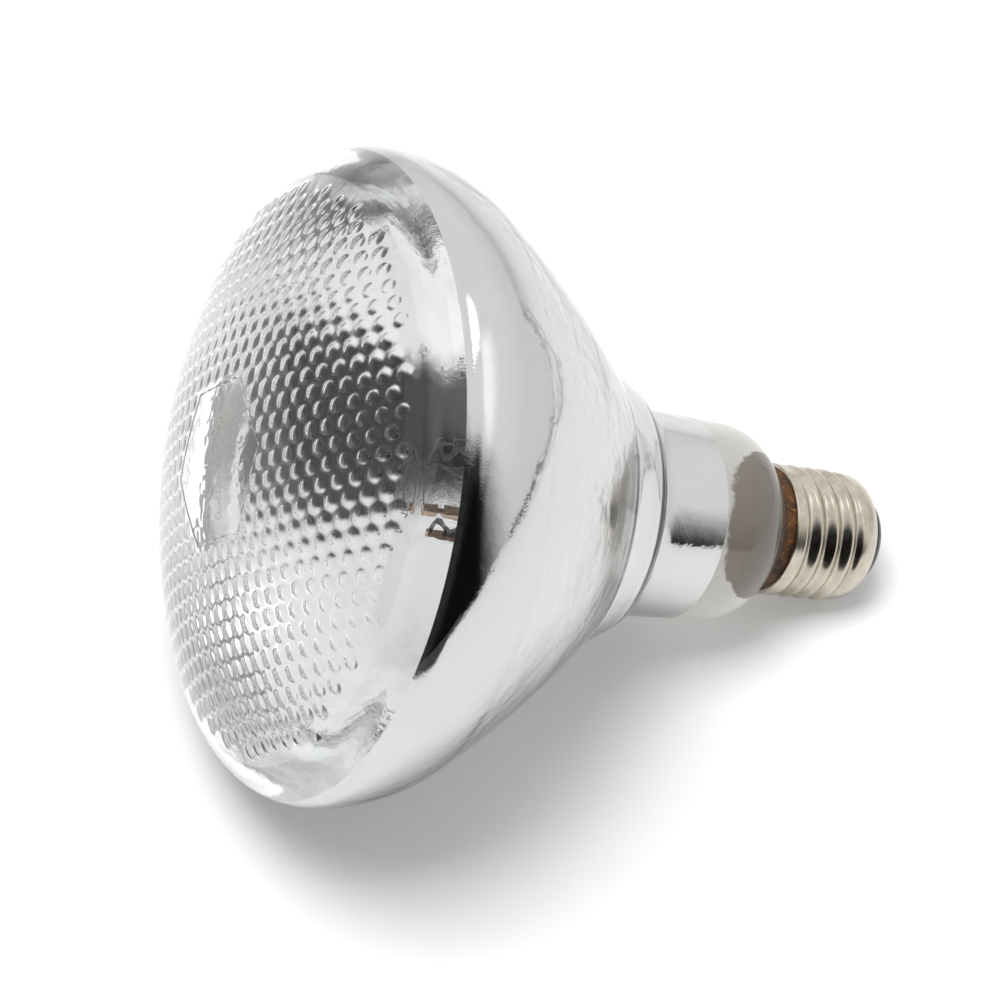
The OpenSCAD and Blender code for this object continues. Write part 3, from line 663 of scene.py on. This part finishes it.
def fan(middle, corners):
    """Triangles from a middle point to each side of an outline that is all in view from there."""
    return [(middle, a, b) for a, b in zip(corners, corners[1:] + corners[:1])]


def flat_sheet(name, faces, material):
    bm = bmesh.new()
    for corners in faces:
        face = bm.faces.new([bm.verts.new(corner) for corner in corners])
        face.normal_update()
        if face.normal.z < 0:
            face.normal_flip()
    bmesh.ops.remove_doubles(bm, verts=bm.verts, dist=1e-6)
    mesh = bpy.data.meshes.new(name)
    bm.to_mesh(mesh)
    bm.free()
    mesh.materials.append(material)
    sheet = bpy.data.objects.new(name, mesh)
    bpy.context.scene.collection.objects.link(sheet)
    return sheet


def painted_edge_shadow():
    """Painted shadow along the paper's edge: a near-black strip that the bowl mirrors as a thin line."""
    material, links = new_material("painted_shadow_at_the_edge")
    shader = shader_of(material)
    uneven = noise_of(material, 20, 2)
    links.new(mix_colors(material, uneven, (0.002, 0.002, 0.002), (0.008, 0.008, 0.008)),
              shader.inputs["Base Color"])
    shader.inputs["Roughness"].default_value = 1
    return material


def studio_floor():
    """Paper under the bulb, plain floor past its edge that mirrors and glass don't show, and a painted
    shadow along the edge that only they show.
    """
    white = white_paper()
    paper_corners = PAPER_EDGE + [Vector((-FAR, FAR, 0)), Vector((FAR, FAR, 0))]
    flat_sheet("paper", fan(PAPER_MIDDLE, paper_corners), white)
    beyond_corners = PAPER_EDGE + [Vector((-FAR, -FAR, 0)), Vector((FAR, -FAR, 0)),
                                   Vector((FAR, FAR_EDGE_Y, 0))]
    beyond = flat_sheet("floor_past_paper", fan(BEYOND_MIDDLE, beyond_corners), white)
    beyond.visible_glossy = beyond.visible_transmission = False
    # A painted shadow, a dark strip that only mirrors and glass show, runs along the edge. It widens with
    # distance, so it looks as wide in the bowl.
    line, back = [], []
    for start, end, outwards in zip(PAPER_EDGE, PAPER_EDGE[1:5], EDGE_SHADOW_SIDES):
        for k in range(EDGE_SHADOW_STEPS):
            place = start.lerp(end, k / EDGE_SHADOW_STEPS) + Vector((0, 0, EDGE_SHADOW_LIFT))
            line.append(place)
            back.append(place + outwards * EDGE_SHADOW_SHARE * place.xy.length)
    edge_shadow = flat_sheet("painted_paper_edge_shadow", zip(line, line[1:], back[1:], back), painted_edge_shadow())
    edge_shadow.visible_camera = edge_shadow.visible_shadow = edge_shadow.visible_diffuse = False


studio_floor()


def soft_mask(tree, value, off, on):
    """0 at off, 1 at on, smooth between them."""
    return add_node(tree, "ShaderNodeMapRange",
                    {"Value": value, "From Min": off, "From Max": on, "To Min": 0, "To Max": 1},
                    interpolation_type="SMOOTHSTEP").outputs["Result"]


# The studio's parts, as pairs of directions in degrees: where a part has faded out, and where it is full.
ROOM_RIGHT, ROOM_LEFT, ROOM_TOP = (-22, -56), (-165, -145), (74, 58)
ROOM_LEANS_FROM, ROOM_LEAN = 32, 0.94
WINDOW_SIDES, WINDOW_ENDS = ((-42, -22), (22, 10)), ((30, 44), (72, 56))
TOP_SIDES, TOP_START = ((15, 35), (95, 80)), (62, 68)
LEFT_WALL_SIDE, LEFT_WALL_TOP = (105, 135), (52, 38)
LOW_WALL = (25, 0)
WALL_LEVEL, WINDOW_LEVEL, TOP_LEVEL, LOW_LEVEL = 0.97, 0.42, 1.3, -0.1
LEFT_LEVEL, ROOM_LEVEL, SOFT_LIGHT_LEVEL = -0.7, 0.006, -0.5


def white_studio():
    """Pale walls, a dark room behind the camera, a window of light to the right and one overhead."""
    world = bpy.data.worlds.new("white_studio")
    bpy.context.scene.world = world
    world.use_nodes = True
    direction = add_node(world, "ShaderNodeTexCoord").outputs["Generated"]
    parts = add_node(world, "ShaderNodeSeparateXYZ", {"Vector": direction}).outputs
    degrees = 180 / math.pi
    around = math_of(world, "MULTIPLY", math_of(world, "ARCTAN2", parts["Y"], parts["X"]), degrees)
    lift = math_of(world, "MULTIPLY", math_of(world, "ARCSINE", parts["Z"]), degrees)

    def both(*masks):
        total = masks[0]
        for mask in masks[1:]:
            total = math_of(world, "MULTIPLY", total, mask)
        return total

    high = math_of(world, "MAXIMUM", math_of(world, "SUBTRACT", lift, ROOM_LEANS_FROM), 0)
    room_side = math_of(world, "ADD", around, math_of(world, "MULTIPLY", high, ROOM_LEAN))
    dark_room = both(soft_mask(world, room_side, *ROOM_RIGHT), soft_mask(world, around, *ROOM_LEFT),
                     soft_mask(world, lift, *ROOM_TOP))
    side_light = both(*(soft_mask(world, around, *side) for side in WINDOW_SIDES),
                      *(soft_mask(world, lift, *end) for end in WINDOW_ENDS))
    top_light = both(*(soft_mask(world, around, *side) for side in TOP_SIDES),
                     soft_mask(world, lift, *TOP_START))
    left_wall = both(soft_mask(world, math_of(world, "ABSOLUTE", around), *LEFT_WALL_SIDE),
                     soft_mask(world, lift, *LEFT_WALL_TOP))
    low_wall = soft_mask(world, lift, *LOW_WALL)
    level = math_of(world, "MULTIPLY_ADD", side_light, WINDOW_LEVEL, WALL_LEVEL)
    level = math_of(world, "MULTIPLY_ADD", top_light, TOP_LEVEL, level)
    level = math_of(world, "MULTIPLY_ADD", low_wall, LOW_LEVEL, level)
    level = math_of(world, "MULTIPLY", level, math_of(world, "SUBTRACT", 1, dark_room))
    level = math_of(world, "MULTIPLY", level, math_of(world, "MULTIPLY_ADD", left_wall, LEFT_LEVEL, 1))
    level = math_of(world, "ADD", level, ROOM_LEVEL)
    path = add_node(world, "ShaderNodeLightPath").outputs
    softened = math_of(world, "MULTIPLY_ADD", path["Is Diffuse Ray"], SOFT_LIGHT_LEVEL, 1)
    level = math_of(world, "MAXIMUM", math_of(world, "MULTIPLY", level, softened), path["Is Camera Ray"])
    background = world.node_tree.nodes["Background"]
    background.inputs["Color"].default_value = (1, 1, 1, 1)
    world.node_tree.links.new(level, background.inputs["Strength"])


white_studio()


LAMP_AT, LAMP_SIZE, LAMP_WATTS = Vector((-0.24, 0.0, 1.4)), 0.75, 18


def softbox():
    """A lamp high over the bulb, aimed at the floor under it, that mirrors don't show."""
    light = bpy.data.lights.new("softbox", "AREA")
    light.shape = "RECTANGLE"
    light.size = light.size_y = LAMP_SIZE
    light.energy = LAMP_WATTS
    lamp = bpy.data.objects.new("softbox", light)
    bpy.context.scene.collection.objects.link(lamp)
    aim = LAMP_AT.to_track_quat("Z", "Y").to_matrix().to_4x4()
    lamp.matrix_world = Matrix.Translation(LAMP_AT) @ aim
    lamp.visible_glossy = lamp.visible_transmission = False


softbox()

LENS_MM, SENSOR_MM = 123.55, 36
CAMERA_LIFT, CAMERA_TURN = 51.53, 13.20
# From the camera to the nose of the lens: to the right, up and forward.
NOSE_RIGHT, NOSE_UP, NOSE_FORWARD = -0.0534, 0.00714, 0.6242
MOST_BOUNCES, MIRROR_BOUNCES = 24, 16


def photographer_view():
    """The photo's view: CAMERA_LIFT above the floor, CAMERA_TURN round from straight across the bulb."""
    camera_data = bpy.data.cameras.new("camera")
    camera_data.lens = LENS_MM
    camera_data.sensor_width = SENSOR_MM
    camera = bpy.data.objects.new("camera", camera_data)
    bpy.context.scene.collection.objects.link(camera)
    bpy.context.scene.camera = camera
    right = Vector((cos_deg(CAMERA_TURN), -sin_deg(CAMERA_TURN), 0))
    forward = Vector((cos_deg(CAMERA_LIFT) * sin_deg(CAMERA_TURN),
                      cos_deg(CAMERA_LIFT) * cos_deg(CAMERA_TURN), -sin_deg(CAMERA_LIFT)))
    up = right.cross(forward)
    nose = LAY @ Vector((0, 0, 0))
    place = nose - (NOSE_RIGHT * right + NOSE_UP * up + NOSE_FORWARD * forward)
    looking = Matrix((right, up, -forward)).transposed().to_4x4()
    camera.matrix_world = Matrix.Translation(place) @ looking


photographer_view()
bpy.context.scene.view_settings.view_transform = "Standard"
cycles = bpy.context.scene.cycles
cycles.max_bounces = MOST_BOUNCES
cycles.glossy_bounces = MIRROR_BOUNCES
cycles.transmission_bounces = MOST_BOUNCES
